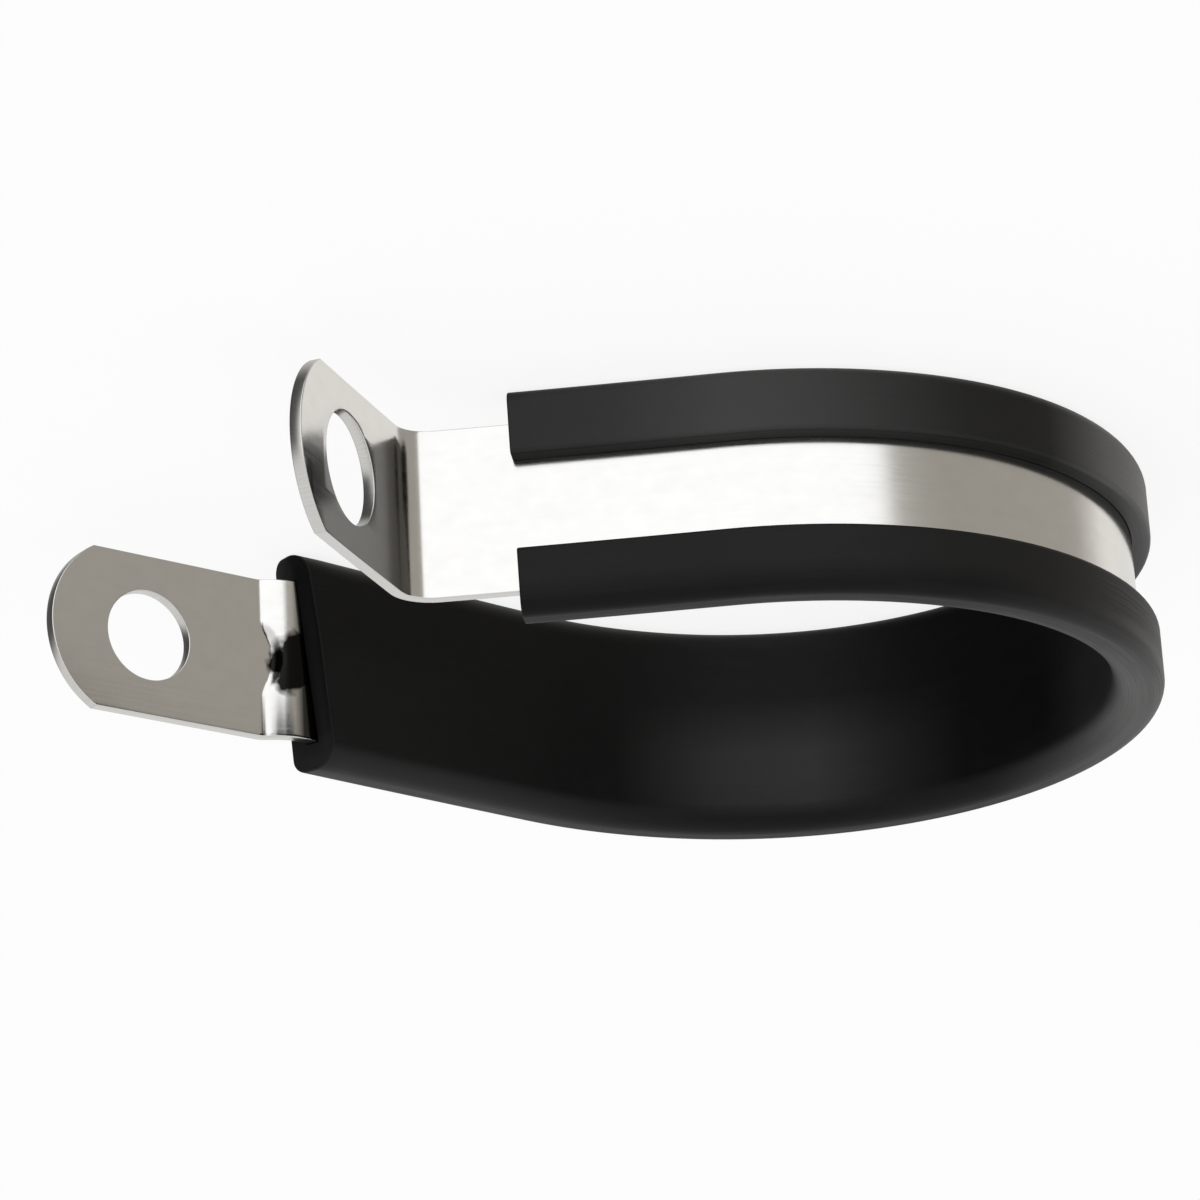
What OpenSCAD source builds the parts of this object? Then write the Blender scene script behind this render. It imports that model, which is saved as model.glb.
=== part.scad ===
// Rubber-lined pipe clip, standing open as it is supplied.
// The origin is on the axis of the pipe's seat, half way across the strip, with +Z along that axis.

/* [Strip] */
// Width of the metal strip
band_w = 13; // [10:0.5:18]
// Thickness of the metal strip
band_t = 0.9; // [0.6:0.05:1.2]

/* [Loop] */
// Radius of the strip's middle line round the pipe
loop_r = 26.8; // [16:0.2:60]
// How far the strip turns round the pipe, in degrees
loop_turn = 169; // [120:1:200]
// Radius where the straight far strand leads into the loop
lead_in_r = 33; // [16:1:80]
// Turn of the lead into the loop, in degrees
lead_in_turn = 24; // [5:1:40]
// Radius where the loop runs out into the near strand
lead_out_r = 29.5; // [16:0.5:80]
// Turn of the run out of the loop, in degrees
lead_out_turn = 34; // [5:1:45]
// Length of the far strand, from the joggle to the loop
far_len = 23; // [10:0.5:50]
// Length of the near strand that the liner covers
near_len = 14.7; // [8:0.1:40]
// Length of the bare near strand, from the liner's end to the big bend
near_bare_len = 6.9; // [3:0.1:12]
// Turn of the slight bow in each of these three and in the near tab, in degrees
strand_bow = 1; // [1:1:3]

/* [Joggle] */
// Radius of the first bend, next to the flat tab
joggle_in_r = 1.5; // [1.2:0.1:3]
// Turn of the first bend, in degrees
joggle_in_turn = 35; // [20:1:40]
// Radius of the second bend, next to the liner
joggle_out_r = 4.8; // [2:0.1:8]
// Turn of the second bend, in degrees
joggle_out_turn = 39; // [20:1:45]

/* [Big bend] */
// Radius of the strip's middle line in the bend that turns the near tab out
tab_bend_r = 2.1; // [1.5:0.1:5]
// Turn of that bend, in degrees
tab_bend_turn = 74; // [40:1:90]

/* [Tabs] */
// Length of the flat far tab, from its tip to the joggle
far_tab_len = 18.3; // [16:0.1:30]
// Length of the turned-out near tab, from the bend to its tip
near_tab_len = 17.4; // [15:0.1:30]
// How much larger the radius of each tab's rounded tip is than half the strip's width
tip_extra_r = 1; // [0.2:0.1:5]
// Diameter of the fixing hole in the far tab
far_hole_d = 7.2; // [5:0.1:9]
// Diameter of the fixing hole in the near tab, wider so that the bolt enters at a slant
near_hole_d = 8.3; // [5:0.1:9]
// Distance from the tip to the middle of each fixing hole
hole_from_tip = 8.5; // [7:0.1:10]

/* [Gusset] */
// Radius of the pressed rib that stiffens the joggle
gusset_r = 3.8; // [3:0.1:4.5]
// Length of the rib between the middles of its round ends
gusset_len = 1.2; // [0.6:0.1:1.4]
// How far the top of the rib stands above the far tab's face
gusset_proud = 0.15; // [0.1:0.05:0.3]

/* [Liner] */
// Overall width of the rubber section
liner_w = 17.4; // [15:0.1:24]
// Thickness of rubber between the strip and the pipe
web_t = 1.55; // [1:0.05:3]
// Thickness of each lip over the outside of the strip
lip_t = 1.5; // [1:0.05:3]
// Opening between the two lips
slot_w = 7.2; // [4:0.1:9]
// Radius of the section's corners on the lip side
outer_corner_r = 1.1; // [0.5:0.1:1.4]
// Radius of the section's corners on the pipe side
inner_corner_r = 2; // [0.5:0.1:2.2]
// Radius of the edges along the slot
slot_edge_r = 0.4; // [0.2:0.05:0.6]

/* [Fit] */
// Gap between the strip and the groove in the rubber
groove_gap = 0.05; // [0.02:0.01:0.15]

/* [Hidden] */
$fn = 120;
// How far a cutting shape runs past the face that it cuts
overrun = 1;
// The slope of the chord across the joggle, which the rib is cut off along
joggle_slope = 15;
// Heading of the strip along the far tab
start_heading = 180;
// Radius of each tab's rounded tip
tip_r = band_w / 2 + tip_extra_r;
metal_colour = "#c9c6bf";
rubber_colour = "#26262a";

function snap(value, unit) = round(value / unit) * unit;

// A bow's turn and its arc length give its radius, in whole hundredths of a millimetre
function bow_r(length, turn) = snap(length / (turn * PI / 180), 0.01);

// The strip's middle line after the far tab. Each row is the radius and the turn of an arc, left
// turns positive. Left is the pipe side.
ROUTE = [
    [joggle_in_r, joggle_in_turn],
    [joggle_out_r, -joggle_out_turn],
    [bow_r(far_len, strand_bow), strand_bow],
    [lead_in_r, lead_in_turn],
    [loop_r, loop_turn],
    [lead_out_r, lead_out_turn],
    [bow_r(near_len, strand_bow), -strand_bow],
    [bow_r(near_bare_len, strand_bow), -strand_bow],
    [tab_bend_r, -tab_bend_turn],
    [bow_r(near_tab_len + overrun, strand_bow), -strand_bow]
];
FAR = 2;
LOOP = 4;
NEAR = 6;
NEAR_TAB = 9;

// A pose is [x, y, heading]
function centre_of(pose, arc) =
    let (side = sign(arc[1]))
    [pose.x - side * arc[0] * sin(pose.z), pose.y + side * arc[0] * cos(pose.z)];
function after(pose, arc) =
    let (middle = centre_of(pose, arc), side = sign(arc[1]), heading = pose.z + arc[1])
    [middle.x + side * arc[0] * sin(heading), middle.y - side * arc[0] * cos(heading), heading];
function walk(pose, n) = n == 0 ? pose : after(walk(pose, n - 1), ROUTE[n - 1]);

// The walk starts where it puts the middle of the loop's arc on the origin
loop_middle = centre_of(walk([0, 0, start_heading], LOOP), ROUTE[LOOP]);
start_pose = [-loop_middle.x, -loop_middle.y, start_heading];
function pose_at(n) = walk(start_pose, n);

// Moves in whole millimetres, then thousandths, then the rest, so that no digit is lost
module place(spot) {
    whole = [snap(spot.x, 1), snap(spot.y, 1)];
    fine = [snap(spot.x - whole.x, 0.001), snap(spot.y - whole.y, 0.001)];
    translate(whole)
        translate(fine)
            translate([spot.x - whole.x - fine.x, spot.y - whole.y - fine.y])
                children();
}

// Puts children into the frame of a pose: +X along the strip, +Y to the pipe side
module at_pose(pose) {
    place(pose)
        rotate(pose.z)
            children();
}

// Sweeps a section along one arc. The section's +X is away from the pipe and its +Y is along the
// pipe.
module sweep(n) {
    pose = pose_at(n);
    arc = ROUTE[n];
    place(centre_of(pose, arc))
        if (arc[1] > 0)
            rotate_extrude(angle = arc[1], start = pose.z - 90)
                translate([arc[0], 0])
                    children();
        else
            rotate_extrude(angle = -arc[1], start = pose.z + 90 + arc[1])
                translate([arc[0], 0])
                    mirror([1, 0])
                        children();
}

module band_section() {
    square([band_t, band_w], center = true);
}

// The outline of a tab that starts at X = root and has its rounded tip at X = tip. It is wider
// than the strip, so it only shapes the tip and the hole.
module tab_outline(root, tip, hole_d) {
    difference() {
        union() {
            translate([root, -tip_r])
                square([tip - tip_r - root, 2 * tip_r]);
            translate([tip - tip_r, 0])
                circle(r = tip_r);
        }
        translate([tip - hole_from_tip, 0])
            circle(d = hole_d);
    }
}

// An outline stood up across the strip, with the strip's middle line through its thickness
module upright(thickness) {
    translate([0, thickness / 2, 0])
        rotate([90, 0, 0])
            linear_extrude(thickness)
                children();
}

// The flat far tab runs back from the start of the route
module far_tab() {
    at_pose(pose_at(0))
        rotate(180)
            upright(band_t)
                intersection() {
                    translate([0, -band_w / 2])
                        square([far_tab_len + overrun, band_w]);
                    tab_outline(-overrun, far_tab_len, far_hole_d);
                }
}

// The near tab is the last stretch of the route, cut to the tab's outline
module near_tab() {
    intersection() {
        sweep(NEAR_TAB)
            band_section();
        at_pose(pose_at(NEAR_TAB))
            upright(band_t + 2 * overrun)
                tab_outline(-overrun, near_tab_len, near_hole_d);
    }
}

// A bar with round ends, in the frame of the joggle's start
module gusset_bar(r) {
    translate([0, band_t / 2 + gusset_proud - gusset_r, 0]) {
        rotate([0, 90, 0])
            cylinder(h = gusset_len, r = r);
        sphere(r = r);
        translate([gusset_len, 0, 0])
            sphere(r = r);
    }
}

// The outside of the rib, cut off inside the strip
module gusset_rib() {
    intersection() {
        gusset_bar(gusset_r);
        rotate(-joggle_slope)
            translate([-2 * gusset_r, -band_t / 2, -gusset_r - overrun])
                cube([5 * gusset_r, 2 * gusset_r, 2 * (gusset_r + overrun)]);
    }
}

module band() {
    color(metal_colour)
        difference() {
            union() {
                far_tab();
                for (n = [0 : NEAR_TAB - 1])
                    sweep(n)
                        band_section();
                near_tab();
                at_pose(pose_at(0))
                    gusset_rib();
            }
            at_pose(pose_at(0))
                gusset_bar(gusset_r - band_t);
        }
}

// The whole rubber section before its groove is cut, with its four corners rounded
module section_outline() {
    web_face = -band_t / 2 - web_t;
    lip_face = band_t / 2 + lip_t;
    web_side_h = liner_w - 2 * inner_corner_r;
    lip_side_h = liner_w - 2 * outer_corner_r;
    translate([web_face + inner_corner_r, -liner_w / 2])
        square([lip_face - outer_corner_r - web_face - inner_corner_r, liner_w]);
    translate([web_face, -web_side_h / 2])
        square([lip_face - web_face, web_side_h]);
    translate([web_face + inner_corner_r, -lip_side_h / 2])
        square([lip_face - web_face - inner_corner_r, lip_side_h]);
    for (side = [-1, 1]) {
        translate([web_face + inner_corner_r, side * web_side_h / 2])
            circle(r = inner_corner_r);
        translate([lip_face - outer_corner_r, side * lip_side_h / 2])
            circle(r = outer_corner_r);
    }
}

// The groove that holds the strip, open between the lips
module groove_section() {
    groove_w = band_w + 2 * groove_gap;
    groove_t = band_t + 2 * groove_gap;
    square([groove_t, groove_w], center = true);
    difference() {
        translate([0, -slot_w / 2 - slot_edge_r])
            square([band_t / 2 + lip_t + overrun, slot_w + 2 * slot_edge_r]);
        for (side = [-1, 1])
            slot_edge(side);
    }
}

// What is left of a lip beside the slot, with its edge rounded
module slot_edge(side) {
    lip_face = band_t / 2 + lip_t;
    edge = side * (slot_w / 2 + slot_edge_r);
    translate([lip_face - slot_edge_r, edge])
        circle(r = slot_edge_r);
    translate([-overrun, edge - slot_edge_r])
        square([lip_face - slot_edge_r + overrun, 2 * slot_edge_r]);
}

module liner_section() {
    difference() {
        section_outline();
        groove_section();
    }
}

module liner() {
    color(rubber_colour)
        union()
            for (n = [FAR : NEAR])
                sweep(n)
                    liner_section();
}

band();
liner();
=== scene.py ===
import bpy, bmesh, math
from mathutils import Vector, Matrix


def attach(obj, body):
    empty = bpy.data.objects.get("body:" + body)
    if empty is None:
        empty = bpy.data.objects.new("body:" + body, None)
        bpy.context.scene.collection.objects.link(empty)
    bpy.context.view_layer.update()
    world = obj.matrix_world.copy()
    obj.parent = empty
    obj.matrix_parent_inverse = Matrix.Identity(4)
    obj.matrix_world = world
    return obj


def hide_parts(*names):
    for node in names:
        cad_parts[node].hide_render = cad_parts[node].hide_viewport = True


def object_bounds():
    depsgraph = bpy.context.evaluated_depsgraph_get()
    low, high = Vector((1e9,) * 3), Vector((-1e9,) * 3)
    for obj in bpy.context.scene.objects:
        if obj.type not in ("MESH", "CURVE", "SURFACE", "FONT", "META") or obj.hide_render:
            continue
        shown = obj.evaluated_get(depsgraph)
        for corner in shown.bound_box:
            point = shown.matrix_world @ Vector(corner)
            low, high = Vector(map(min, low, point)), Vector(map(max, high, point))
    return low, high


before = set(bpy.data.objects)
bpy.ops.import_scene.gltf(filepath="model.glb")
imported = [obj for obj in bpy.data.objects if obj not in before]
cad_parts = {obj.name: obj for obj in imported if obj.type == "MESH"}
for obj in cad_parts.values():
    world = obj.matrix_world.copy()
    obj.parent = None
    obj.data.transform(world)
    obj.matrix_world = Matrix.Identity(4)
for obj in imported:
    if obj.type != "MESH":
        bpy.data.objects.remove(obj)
cadLow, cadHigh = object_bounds()
mm = 0.001
perMm = 0.01  # one mm of strip or lining on its flat layout
print("frame loaded, box", [round(v / mm, 1) for v in cadLow], [round(v / mm, 1) for v in cadHigh])

# the strip's middle line after the flat far tab, as radius and turn; a bow gives its length instead
route = {
    "joggleIn": (1.5, 35),
    "joggleOut": (4.8, -39),
    "farStrand": (23, 1),
    "leadIn": (33, 24),
    "loop": (26.8, 169),
    "leadOut": (29.5, 34),
    "nearStrand": (14.7, -1),
    "nearBare": (6.25, -1),
    "tabBend": (3.0, -74),
    "nearTab": (16.75, -1),
}
bows = ("farStrand", "nearStrand", "nearBare", "nearTab")
farTabLength = 18.3
almostStraight = 100  # a larger radius is cut as a straight stretch
finestTurn = math.radians(4)


def arcCentre(pose, radius, side):
    return pose[0] - side * radius * math.sin(pose[2]), pose[1] + side * radius * math.cos(pose[2])


def alongArc(pose, radius, side, distance):
    cx, cy = arcCentre(pose, radius, side)
    heading = pose[2] + side * distance / radius
    return cx + side * radius * math.sin(heading), cy - side * radius * math.cos(heading), heading


# each stretch keeps its name, where it starts, its length, its first pose, radius and side
def layRoute():
    pose = (0.0, 0.0, math.pi)
    stretches, s = [], 0.0
    for name, (size, turn) in route.items():
        angle = math.radians(abs(turn))
        radius = size / angle if name in bows else size
        side = 1 if turn > 0 else -1
        stretches.append([name, s, radius * angle, pose, radius, side])
        pose = alongArc(pose, radius, side, radius * angle)
        s += radius * angle
    loop = next(stretch for stretch in stretches if stretch[0] == "loop")
    cx, cy = arcCentre(loop[3], loop[4], loop[5])
    for stretch in stretches:  # the loop's middle goes on the origin
        x, y, heading = stretch[3]
        stretch[3] = (x - cx, y - cy, heading)
    return stretches


stretches = layRoute()
startOf = {stretch[0]: stretch[1] for stretch in stretches}
endOf = {stretch[0]: stretch[1] + stretch[2] for stretch in stretches}
tabStart = stretches[0][3]
farTip = -farTabLength
nearTip = endOf["nearTab"]


def poseAt(s):
    if s <= 0:
        return tabStart[0] - s, tabStart[1], tabStart[2]
    for name, start, length, pose, radius, side in stretches:
        if s <= start + length or name == "nearTab":
            return alongArc(pose, radius, side, s - start)


# s runs along the strip, across runs along the pipe, away points out of the loop, all in mm
def onRoute(s, across, away):
    x, y, heading = poseAt(s)
    return Vector((x + away * math.sin(heading), y - away * math.cos(heading), across)) * mm


# where a flat length is cut so that it can bend, closer together in the tight bends
def cutsBetween(first, last, steps):
    straightStep, curvedStep = steps
    cuts = []
    for name, start, length, pose, radius, side in stretches:
        step = straightStep if radius > almostStraight else min(curvedStep, radius * finestTurn)
        count = math.ceil(length / step)
        cuts += [start + length * i / count for i in range(count)]
    return [cut for cut in cuts + [nearTip] if first < cut < last]


# 0 at the span's start and 1 at its end, easing at both
def fade(value, span):
    t = (value - span[0]) / (span[1] - span[0])
    t = max(0.0, min(1.0, t))
    return t * t * (3 - 2 * t)


# a value read off a list of places
def between(places, s):
    if s <= places[0][0]:
        return places[0][1]
    for (before, low), (after, high) in zip(places, places[1:]):
        if s <= after:
            return low + (high - low) * (s - before) / (after - before)
    return places[-1][1]


def finishMesh(name, bm, materials):
    bmesh.ops.recalc_face_normals(bm, faces=bm.faces)
    mesh = bpy.data.meshes.new(name)
    bm.to_mesh(mesh)
    bm.free()
    obj = bpy.data.objects.new(name, mesh)
    bpy.context.scene.collection.objects.link(obj)
    for material in materials:
        mesh.materials.append(material)
    mesh.set_sharp_from_angle(angle=math.radians(50))
    weighted = obj.modifiers.new("evenShading", "WEIGHTED_NORMAL")
    weighted.keep_sharp = True
    weighted.weight = 80
    return obj


def newMaterial(name):
    material = bpy.data.materials.new(name)
    material.use_nodes = True
    tree = material.node_tree
    return material, tree, tree.nodes["Principled BSDF"]


# a socket takes a number, a colour or what another node gives
def feed(tree, socket, value):
    if isinstance(value, bpy.types.NodeSocket):
        tree.links.new(value, socket)
    elif isinstance(value, (tuple, Vector)):
        socket.default_value = (*value, 1)
    else:
        socket.default_value = value


def calculate(tree, operation, first, second):
    node = tree.nodes.new("ShaderNodeMath")
    node.operation = operation
    feed(tree, node.inputs[0], first)
    feed(tree, node.inputs[1], second)
    return node.outputs["Value"]


def mixColours(tree, amount, first, second):
    node = tree.nodes.new("ShaderNodeMix")
    node.data_type = "RGBA"
    feed(tree, node.inputs["Factor"], amount)
    feed(tree, node.inputs["A"], first)
    feed(tree, node.inputs["B"], second)
    return node.outputs["Result"]


# one span of values becomes another, and is held at its ends
def remap(tree, source, before, after):
    node = tree.nodes.new("ShaderNodeMapRange")
    for name, value in zip(("From Min", "From Max", "To Min", "To Max"), (*before, *after)):
        node.inputs[name].default_value = value
    tree.links.new(source, node.inputs["Value"])
    return node.outputs["Result"]


def ramp(tree, source, stops):
    node = tree.nodes.new("ShaderNodeValToRGB")
    elements = node.color_ramp.elements
    while len(elements) < len(stops):
        elements.new(0.5)
    for element, (place, value) in zip(elements, stops):
        element.position = place
        element.color = (value, value, value, 1) if isinstance(value, float) else (*value, 1)
    tree.links.new(source, node.inputs["Fac"])
    return node.outputs["Color"]


def layoutOf(tree, layer):
    uv = tree.nodes.new("ShaderNodeUVMap")
    uv.uv_map = layer
    return uv.outputs["UV"]


# noise on a piece's own flat layout, given as its scale along, its scale across and its detail
def layoutNoise(tree, layer, look):
    along, across, detail = look
    mapping = tree.nodes.new("ShaderNodeMapping")
    mapping.inputs["Scale"].default_value = (along, across, 1)
    noise = tree.nodes.new("ShaderNodeTexNoise")
    noise.inputs["Scale"].default_value = 1
    noise.inputs["Detail"].default_value = detail
    noise.inputs["Roughness"].default_value = 0.55
    tree.links.new(layoutOf(tree, layer), mapping.inputs["Vector"])
    tree.links.new(mapping.outputs["Vector"], noise.inputs["Vector"])
    return noise.outputs["Fac"]


# the height is in mm
def bumpFrom(tree, source, height, strength, under=None):
    bump = tree.nodes.new("ShaderNodeBump")
    bump.inputs["Distance"].default_value = height * mm
    bump.inputs["Strength"].default_value = strength
    tree.links.new(source, bump.inputs["Height"])
    if under is not None:
        tree.links.new(under, bump.inputs["Normal"])
    return bump.outputs["Normal"]


strip = {
    "width": 13.0,
    "thickness": 0.9,
    "tipRadius": 7.5,
    "edgeRound": 0.09,
    "farHole": 7.2,
    "nearHole": 8.3,
    "holeFromTip": 8.5,
    "cutSteps": (2.0, 0.9),  # on straight stretches and in bends
    "dentRadius": 3.7,  # the pressed dent that stiffens the joggle
    "dentMiddle": -2.1,
    "dentSoft": 0.75,
    "dentZone": (-3, 8),
    # the fine cuts for the dent: step, first and last count, and the stretch of strip that they reach
    "cutsAlong": (0.12, -5, 39, -1.5, 5.5),
    "cutsAcross": (0.13, -36, 36, -0.6, 4.7),
    "paintedDarkMiddle": 3.15,  # painted darkness behind the dent, standing in for the dark reflection and shade there
    "paintedDarkAcross": 0.35,
    "paintedDarkLength": 1.95,
    "paintedDarkWidth": 2.9,
    "paintedDarkBorder": (1.55, 1.3),
    "paintedDarkNoise": (60, 60, 2.0),
    "paintedShadeLine": (2.95, 3.65),  # a thin line of painted shade lies beside the lining and ends under it
    "paintedShadeLineAmount": 0.94,
    "paintedShadeLineEnd": 5.5,
    "paintedDarkColour": (0.011, 0.011, 0.01),
    "faceColour": (0.63, 0.62, 0.6),
    "faceRoughness": (0.13, 0.2),
    "rollingLines": (14, 5200, 2.0),
    "brushing": (9, 420, 3.0),
    "cloud": (55, 70, 4.0),
    "edgeColour": (0.55, 0.54, 0.52),
    "edgeRoughness": 0.27,
    "edgeGrain": (2400, 2400, 3.0),
}


def stripOutline():
    half, r, steps = strip["width"] / 2, strip["tipRadius"], 40
    spread = math.asin(half / r)
    points = []
    for middle, turn in ((nearTip - r, 0), (farTip + r, math.pi)):
        for i in range(steps + 1):
            a = turn - spread + 2 * spread * i / steps
            points.append((middle + r * math.cos(a), r * math.sin(a)))
    return points


def holeOutline(s, diameter, steps=72):
    turns = [2 * math.pi * i / steps for i in range(steps)]
    return [(s + diameter / 2 * math.cos(a), diameter / 2 * math.sin(a)) for a in turns]


# a filled flat curve gives the blank with its two holes and its rounded edges
def stripBlank():
    curve = bpy.data.curves.new("blank", "CURVE")
    curve.dimensions = "2D"
    curve.fill_mode = "BOTH"
    curve.extrude = strip["thickness"] / 2 - strip["edgeRound"]
    curve.bevel_depth = strip["edgeRound"]
    curve.bevel_resolution = 2
    curve.offset = -strip["edgeRound"]
    outlines = [stripOutline(),
                holeOutline(farTip + strip["holeFromTip"], strip["farHole"]),
                holeOutline(nearTip - strip["holeFromTip"], strip["nearHole"])]
    for points in outlines:
        spline = curve.splines.new("POLY")
        spline.points.add(len(points) - 1)
        spline.use_cyclic_u = True
        for point, (s, across) in zip(spline.points, points):
            point.co = (s, across, 0, 1)
    blank = bpy.data.objects.new("blank", curve)
    bpy.context.scene.collection.objects.link(blank)
    bpy.context.view_layer.update()
    mesh = bpy.data.meshes.new_from_object(blank.evaluated_get(bpy.context.evaluated_depsgraph_get()))
    bpy.data.objects.remove(blank)
    return mesh


# a cut square to one axis, only through faces whose middle lies between two places along the strip
def cutFaces(bm, axis, place, first=-1e9, last=1e9):
    faces = [f for f in bm.faces if first < f.calc_center_median().x < last]
    edges = {e for f in faces for e in f.edges}
    verts = {v for f in faces for v in f.verts}
    bmesh.ops.bisect_plane(bm, geom=list(verts) + list(edges) + faces,
                           plane_co=axis * place, plane_no=axis, dist=1e-4)


# the blank is cut where it bends, and finely where the dent goes
def cutBlank(bm):
    along, across = Vector((1, 0, 0)), Vector((0, 1, 0))
    for s in cutsBetween(farTip + 1, nearTip - 1, strip["cutSteps"]):
        cutFaces(bm, along, s)
    for axis, cuts in ((along, strip["cutsAlong"]), (across, strip["cutsAcross"])):
        step, firstCount, lastCount, first, last = cuts
        for i in range(firstCount, lastCount + 1):
            cutFaces(bm, axis, i * step, first, last)


# the dent carries the flat tab's level a little way into the joggle
def pressDent(point, s, across, away):
    if not strip["dentZone"][0] < s < strip["dentZone"][1]:
        return point
    along = tabStart[0] - point.x / mm
    rise = tabStart[1] + away - point.y / mm
    reach = math.hypot(along - strip["dentMiddle"], across)
    border, soft = strip["dentRadius"], strip["dentSoft"] / 2
    pressed = 1 - fade(reach, (border - soft, border + soft))
    return point + Vector((0, pressed * rise * mm, 0))


def makeStrip():
    bm = bmesh.new()
    bm.from_mesh(stripBlank())
    bmesh.ops.remove_doubles(bm, verts=bm.verts, dist=0.0005)
    cutBlank(bm)
    layout = bm.loops.layers.uv.new("strip")
    for face in bm.faces:
        face.smooth = True
        face.material_index = 0 if abs(face.normal.z) > 0.9 else 1
        shift = 1 if face.normal.z > 0.9 else 0  # the side away from the pipe has its own stretch of layout
        for loop in face.loops:
            loop[layout].uv = (loop.vert.co.x * perMm + shift, loop.vert.co.y * perMm)
    for v in bm.verts:
        s, across, away = v.co
        v.co = pressDent(onRoute(s, across, away), s, across, away)
    return finishMesh("strip", bm, [satinStainless(), shearedEdge()])


# 1 in the oval of painted dark reflection and shade behind the dent and in the painted shade line beside
# the lining, 0 elsewhere, with an uneven border
def paintedDarkAmount(tree):
    length, width = strip["paintedDarkLength"], strip["paintedDarkWidth"]
    oval = tree.nodes.new("ShaderNodeMapping")
    oval.inputs["Scale"].default_value = (1 / perMm / length, 1 / perMm / width, 0)
    oval.inputs["Location"].default_value = (-strip["paintedDarkMiddle"] / length, -strip["paintedDarkAcross"] / width, 0)
    reach = tree.nodes.new("ShaderNodeVectorMath")
    reach.operation = "LENGTH"
    layout = layoutOf(tree, "strip")
    tree.links.new(layout, oval.inputs["Vector"])
    tree.links.new(oval.outputs["Vector"], reach.inputs[0])
    uneven = calculate(tree, "ADD", reach.outputs["Value"], layoutNoise(tree, "strip", strip["paintedDarkNoise"]))
    patch = remap(tree, uneven, strip["paintedDarkBorder"], (0, 1))
    place = tree.nodes.new("ShaderNodeSeparateXYZ")
    tree.links.new(layout, place.inputs["Vector"])
    s = place.outputs["X"]
    line = remap(tree, s, [v * perMm for v in strip["paintedShadeLine"]], (0, strip["paintedShadeLineAmount"]))
    kept = calculate(tree, "MULTIPLY", line, calculate(tree, "LESS_THAN", s, strip["paintedShadeLineEnd"] * perMm))
    return calculate(tree, "MAXIMUM", kept, patch)


def satinStainless():
    material, tree, shader = newMaterial("satinStainless")
    shader.inputs["Metallic"].default_value = 1
    lines = layoutNoise(tree, "strip", strip["rollingLines"])
    brushing = layoutNoise(tree, "strip", strip["brushing"])
    cloud = layoutNoise(tree, "strip", strip["cloud"])
    base = Vector(strip["faceColour"])
    tint = ramp(tree, cloud, [(0.3, base * 0.975), (0.7, base * 1.02)])
    # painted dark reflection and shade behind the dent, and painted shade beside the lining, darken the
    # metal's colour here
    darkened = mixColours(tree, paintedDarkAmount(tree), tint, strip["paintedDarkColour"])
    rough = remap(tree, brushing, (0.3, 0.7), strip["faceRoughness"])
    soft = bumpFrom(tree, brushing, 0.004, 0.25)
    feed(tree, shader.inputs["Base Color"], darkened)
    feed(tree, shader.inputs["Roughness"], rough)
    feed(tree, shader.inputs["Normal"], bumpFrom(tree, lines, 0.0025, 0.4, soft))
    return material


def shearedEdge():
    material, tree, shader = newMaterial("shearedEdge")
    shader.inputs["Metallic"].default_value = 1
    shader.inputs["Roughness"].default_value = strip["edgeRoughness"]
    grain = layoutNoise(tree, "strip", strip["edgeGrain"])
    base = Vector(strip["edgeColour"])
    feed(tree, shader.inputs["Base Color"], ramp(tree, grain, [(0.3, base * 0.9), (0.7, base * 1.07)]))
    feed(tree, shader.inputs["Normal"], bumpFrom(tree, grain, 0.008, 0.25))
    return material


lining = {
    "width": 17.4,
    "web": 1.55,
    "lip": 1.5,
    "slot": 7.2,
    "outerCorner": 1.1,
    "innerCorner": 2.0,
    "slotEdge": 0.4,
    "gap": 0.05,
    "cutSteps": (2.0, 1.2),  # on straight stretches and in bends
    "endRound": 0.12,
    "endLength": 12,  # how far from an end its cut still shifts the rubber
    "farOver": 0.33,  # the far end was cut off a little out of square
    "farSlant": 0.118,
    "farLean": 0.28,
    "nearOver": 0.4,
    "nearSlant": -0.02,
    "colour": (0.0024, 0.0023, 0.0024),
    # the pale colour that the painted sheen mixes in
    "sheenColour": (0.04, 0.039, 0.038),
    "roughness": (0.42, 0.58),
    "shine": (0.13, 0.4),  # with no painted sheen and with full painted sheen
    "skin": (2600, 2600, 3.0),
    "drawnLines": (10, 900, 3.0),
    "cloud": (45, 60, 4.0),
    # how much painted sheen the rubber gets, by place along the strip
    "plainSheen": 0.12,
    "lipSheen": [(90, 0.5), (98, 1.2), (106, 1.1), (113, 0.1), (120, 0.2),
                (130, 0.6), (137, 0.8), (146, 0.4), (153, 0.35)],
    "pipeSheen": [(8, 0.05), (34, 0.0), (43, 0.4), (52, 0.55), (58, 0.25), (66, 0.0), (76, 0.0), (82, 0.25)],
    "rimSheen": [(16, 0.2), (42, 0.0), (68, 0.0), (78, 0.4), (86, 0.8), (96, 0.8), (106, 0.3), (120, 0.0)],
}


def cornerPoints(cx, cy, r, first, last, steps):
    turns = [math.radians(first + (last - first) * i / steps) for i in range(steps + 1)]
    return [(cx + r * math.cos(a), cy + r * math.sin(a)) for a in turns]


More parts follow.
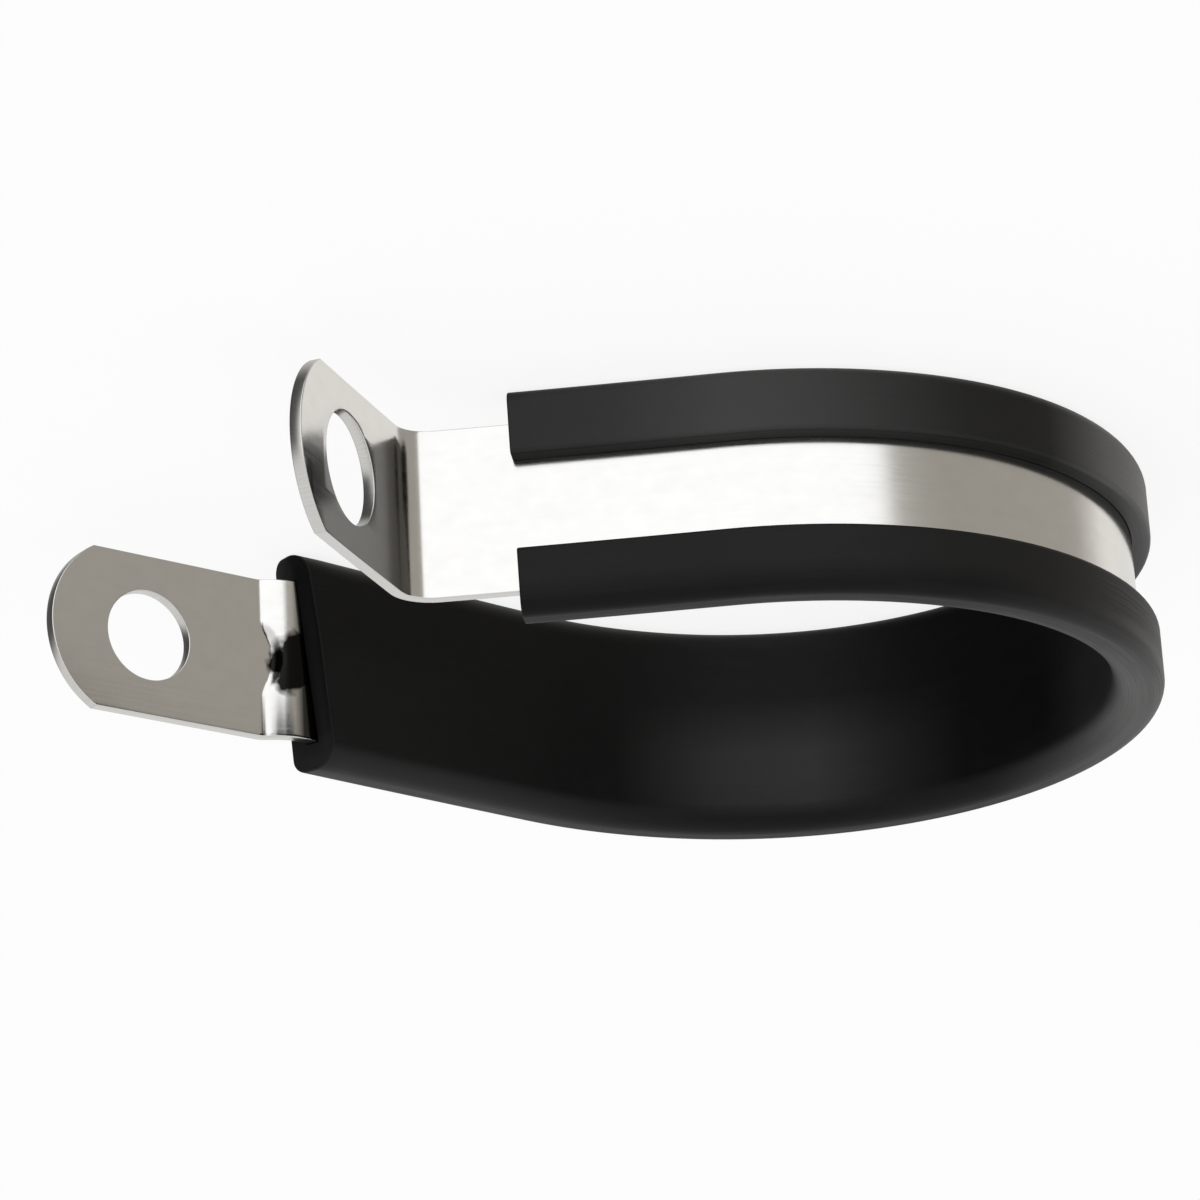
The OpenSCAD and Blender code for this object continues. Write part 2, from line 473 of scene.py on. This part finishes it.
# one half of the outline goes from the slot round to the middle of the web, and is mirrored
def liningSection():
    halfWidth, halfStrip = lining["width"] / 2, strip["thickness"] / 2
    lipFace, webFace = halfStrip + lining["lip"], -halfStrip - lining["web"]
    outer, inner, edge = lining["outerCorner"], lining["innerCorner"], lining["slotEdge"]
    slot, groove = lining["slot"] / 2, halfStrip + lining["gap"]
    grooveSide = strip["width"] / 2 + lining["gap"]
    half = [(groove, grooveSide), (groove, slot)]
    half += cornerPoints(lipFace - edge, slot + edge, edge, -90, 0, 6)
    half += [(lipFace, slot + 1.2), (lipFace, slot + 2.6)]
    half += cornerPoints(lipFace - outer, halfWidth - outer, outer, 0, 90, 10)
    half += cornerPoints(webFace + inner, halfWidth - inner, inner, 90, 180, 14)
    half += [(webFace, halfWidth - inner - 2), (webFace, halfWidth - inner - 4.4)]
    mirrored = [(away, -across) for away, across in reversed(half)]
    return half + mirrored + [(-groove, -grooveSide), (-groove, grooveSide)]


def inset(points, distance):
    moved = []
    for i, p in enumerate(points):
        here, before, after = Vector(p), Vector(points[i - 1]), Vector(points[(i + 1) % len(points)])
        into, out = (here - before).normalized(), (after - here).normalized()
        side = Vector((-(into + out).y, (into + out).x)).normalized()
        moved.append(tuple(here + side * distance / max(0.5, side.dot(Vector((-into.y, into.x))))))
    return moved


# painted sheen: the rubber is made paler and shinier by place along the strip, on the lips, the pipe side
# and the rim
def paintedSheenAt(s, across, away):
    outer, lower = fade(away, (-0.6, 1.2)), fade(across, (3, -3))
    rim = fade(across, (6.3, 7.9))
    plain = lining["plainSheen"]
    flat = outer * (plain + (between(lining["lipSheen"], s) - plain) * lower)
    flat += (1 - outer) * between(lining["pipeSheen"], s) * fade(across, (-3, 3))
    return flat + (between(lining["rimSheen"], s) - flat) * rim


# each row is a place along the strip and how far its outline is drawn in, which rounds the ends
def liningRows(first, last):
    r = lining["endRound"]
    turns = (0, math.pi / 6, math.pi / 3, math.pi / 2)
    rounding = [(r * (1 - math.cos(a)), r * (1 - math.sin(a))) for a in turns]
    rows = [(first + back, drawnIn) for back, drawnIn in rounding]
    rows += [(s, 0) for s in cutsBetween(first + 0.5, last - 0.5, lining["cutSteps"])]
    rows += [(last - back, drawnIn) for back, drawnIn in reversed(rounding)]
    return rows


def makeLining():
    section = liningSection()
    first, last = startOf["farStrand"], endOf["nearStrand"] + lining["nearOver"]
    rows = liningRows(first, last)
    around = [0.0]
    for i, p in enumerate(section):
        around.append(around[-1] + math.dist(p, section[(i + 1) % len(section)]))
    bm = bmesh.new()
    layout = bm.loops.layers.uv.new("lining")
    paintedSheen = bm.verts.layers.float.new("paintedSheen")
    rings = []
    for s, drawnIn in rows:
        outline = inset(section, drawnIn) if drawnIn else section
        ring = []
        for away, across in outline:
            slant = lining["farOver"] - lining["farSlant"] * across + lining["farLean"] * away
            fromFar = fade(s, (first + lining["endLength"], first)) * slant
            fromNear = fade(s, (last - lining["endLength"], last)) * lining["nearSlant"] * across
            ring.append(bm.verts.new(onRoute(s - fromFar + fromNear, across, away)))
            # each point carries its painted sheen value
            ring[-1][paintedSheen] = paintedSheenAt(s, across, away)
        rings.append(ring)
    count = len(section)
    for k in range(len(rings) - 1):
        for i in range(count):
            j = (i + 1) % count
            face = bm.faces.new((rings[k][i], rings[k][j], rings[k + 1][j], rings[k + 1][i]))
            face.smooth = True
            spots = ((rows[k][0], around[i]), (rows[k][0], around[i + 1]),
                     (rows[k + 1][0], around[i + 1]), (rows[k + 1][0], around[i]))
            for loop, (u, v) in zip(face.loops, spots):
                loop[layout].uv = (u * perMm, v * perMm)
    for ring in (rings[0], rings[-1]):
        face = bm.faces.new(ring)
        for loop, (away, across) in zip(face.loops, section):
            loop[layout].uv = (away * perMm, across * perMm)
    return finishMesh("lining", bm, [blackRubber()])


def blackRubber():
    material, tree, shader = newMaterial("blackRubber")
    skin = layoutNoise(tree, "lining", lining["skin"])
    lines = layoutNoise(tree, "lining", lining["drawnLines"])
    cloud = layoutNoise(tree, "lining", lining["cloud"])
    base = Vector(lining["colour"])
    tint = ramp(tree, cloud, [(0.3, base * 0.8), (0.72, base * 1.35)])
    sheenNode = tree.nodes.new("ShaderNodeAttribute")
    sheenNode.attribute_name = "paintedSheen"
    paintedSheen = sheenNode.outputs["Fac"]
    lined = calculate(tree, "MULTIPLY", paintedSheen, ramp(tree, lines, [(0.35, 0.75), (0.65, 1.0)]))
    shader.inputs["Specular IOR Level"].default_value = 0.19  # for an export that leaves out the painted sheen
    drawn = bumpFrom(tree, lines, 0.012, 0.35)
    # painted sheen: the colour turns pale and the specular rises where the sheen value is high
    feed(tree, shader.inputs["Base Color"], mixColours(tree, lined, tint, lining["sheenColour"]))
    feed(tree, shader.inputs["Specular IOR Level"], remap(tree, paintedSheen, (0, 1), lining["shine"]))
    feed(tree, shader.inputs["Roughness"], remap(tree, lines, (0.3, 0.7), lining["roughness"]))
    feed(tree, shader.inputs["Normal"], bumpFrom(tree, skin, 0.012, 0.5, drawn))
    return material


stripObj = makeStrip()
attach(stripObj, "root")
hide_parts("band")
print("strip made,", len(stripObj.data.polygons), "faces")

liningObj = makeLining()
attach(liningObj, "root")
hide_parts("liner")
print("lining made,", len(liningObj.data.polygons), "faces")

studio = {
    "cameraPlace": (213.7, -253.6, 124.1),
    "cameraTurn": 0.6584,
    "cameraDown": 0.3647,
    "cameraRoll": -0.0536,
    "lens": 137.77,
    "fill": 0.9,
    # what the metal mirrors, by direction round the object from -180 to 180 degrees
    "mirrored": [(-180, (1.1, 1.08, 1.04)), (-162, (0.5, 0.475, 0.435)), (-105, (0.47, 0.445, 0.4)),
                 (-91, (0.57, 0.56, 0.52)), (-87, (1.58, 1.6, 1.62)), (-28, (1.6, 1.62, 1.65)),
                 (-14, (0.1, 0.1, 0.1)), (70, (0.1, 0.1, 0.1)), (120, (0.8, 0.8, 0.79)),
                 (160, (0.95, 0.94, 0.91)), (180, (1.1, 1.08, 1.04))],
    "overhead": 1.05,
    "horizon": (-0.1, 0.2),
    "secondLook": 0.3,  # how bright a mirrored mirror is
    "floorSize": 3.0,
    "floorColour": (0.95, 0.95, 0.95),
    "floorGlow": 0.86,  # the rest of the floor's white keeps the shadow
}


def makeCamera():
    data = bpy.data.cameras.new("camera")
    data.lens = studio["lens"]
    data.sensor_width = 36
    data.clip_start = 0.01
    camera = bpy.data.objects.new("camera", data)
    bpy.context.scene.collection.objects.link(camera)
    turn, down, roll = studio["cameraTurn"], studio["cameraDown"], studio["cameraRoll"]
    level = Vector((-math.cos(turn), -math.sin(turn), 0))
    upright = Vector((math.sin(down) * math.sin(turn), -math.sin(down) * math.cos(turn), -math.cos(down)))
    right = math.cos(roll) * level + math.sin(roll) * upright
    up = math.cos(roll) * upright - math.sin(roll) * level
    axes = Matrix((right, up, right.cross(up))).transposed().to_4x4()
    camera.matrix_world = Matrix.Translation(Vector(studio["cameraPlace"]) * mm) @ axes
    bpy.context.scene.camera = camera


def makeFloor():
    size, low = studio["floorSize"], cadLow.z
    mesh = bpy.data.meshes.new("floor")
    corners = [(-size, -size, low), (size, -size, low), (size, size, low), (-size, size, low)]
    mesh.from_pydata(corners, [], [(0, 1, 2, 3)])
    floor = bpy.data.objects.new("floor", mesh)
    bpy.context.scene.collection.objects.link(floor)
    material, tree, shader = newMaterial("whiteFloor")
    feed(tree, shader.inputs["Base Color"], studio["floorColour"])
    shader.inputs["Roughness"].default_value = 0.9
    shader.inputs["Specular IOR Level"].default_value = 0
    glow = tree.nodes.new("ShaderNodeEmission")
    path = tree.nodes.new("ShaderNodeLightPath")
    blend = tree.nodes.new("ShaderNodeMixShader")
    share = calculate(tree, "MULTIPLY", path.outputs["Is Camera Ray"], studio["floorGlow"])
    tree.links.new(share, blend.inputs["Fac"])
    tree.links.new(shader.outputs["BSDF"], blend.inputs[1])
    tree.links.new(glow.outputs["Emission"], blend.inputs[2])
    tree.links.new(blend.outputs["Shader"], tree.nodes["Material Output"].inputs["Surface"])
    mesh.materials.append(material)
    floor.visible_glossy = False


# an even light from all round, and its own surroundings for whatever mirrors
def makeWorld():
    world = bpy.data.worlds.new("studio")
    bpy.context.scene.world = world
    world.use_nodes = True
    tree = world.node_tree
    place = tree.nodes.new("ShaderNodeTexCoord")
    axes = tree.nodes.new("ShaderNodeSeparateXYZ")
    tree.links.new(place.outputs["Generated"], axes.inputs["Vector"])
    angle = calculate(tree, "ARCTAN2", axes.outputs["Y"], axes.outputs["X"])
    turn = remap(tree, angle, (-math.pi, math.pi), (0, 1))
    stops = [((degrees + 180) / 360, colour) for degrees, colour in studio["mirrored"]]
    overhead = (studio["overhead"],) * 3
    mirrored = mixColours(tree, remap(tree, axes.outputs["Z"], studio["horizon"], (0, 1)),
                          ramp(tree, turn, stops), overhead)
    path = tree.nodes.new("ShaderNodeLightPath")
    deep = remap(tree, path.outputs["Glossy Depth"], (1, 2), (1, studio["secondLook"]))
    dimmed = tree.nodes.new("ShaderNodeVectorMath")
    dimmed.operation = "SCALE"
    tree.links.new(mirrored, dimmed.inputs["Vector"])
    tree.links.new(deep, dimmed.inputs["Scale"])
    fill = (studio["fill"],) * 3
    shown = mixColours(tree, path.outputs["Is Glossy Ray"], fill, dimmed.outputs["Vector"])
    tree.links.new(shown, tree.nodes["Background"].inputs["Color"])


makeCamera()
makeFloor()
makeWorld()
bpy.context.scene.view_settings.view_transform = "Standard"
print("studio made")
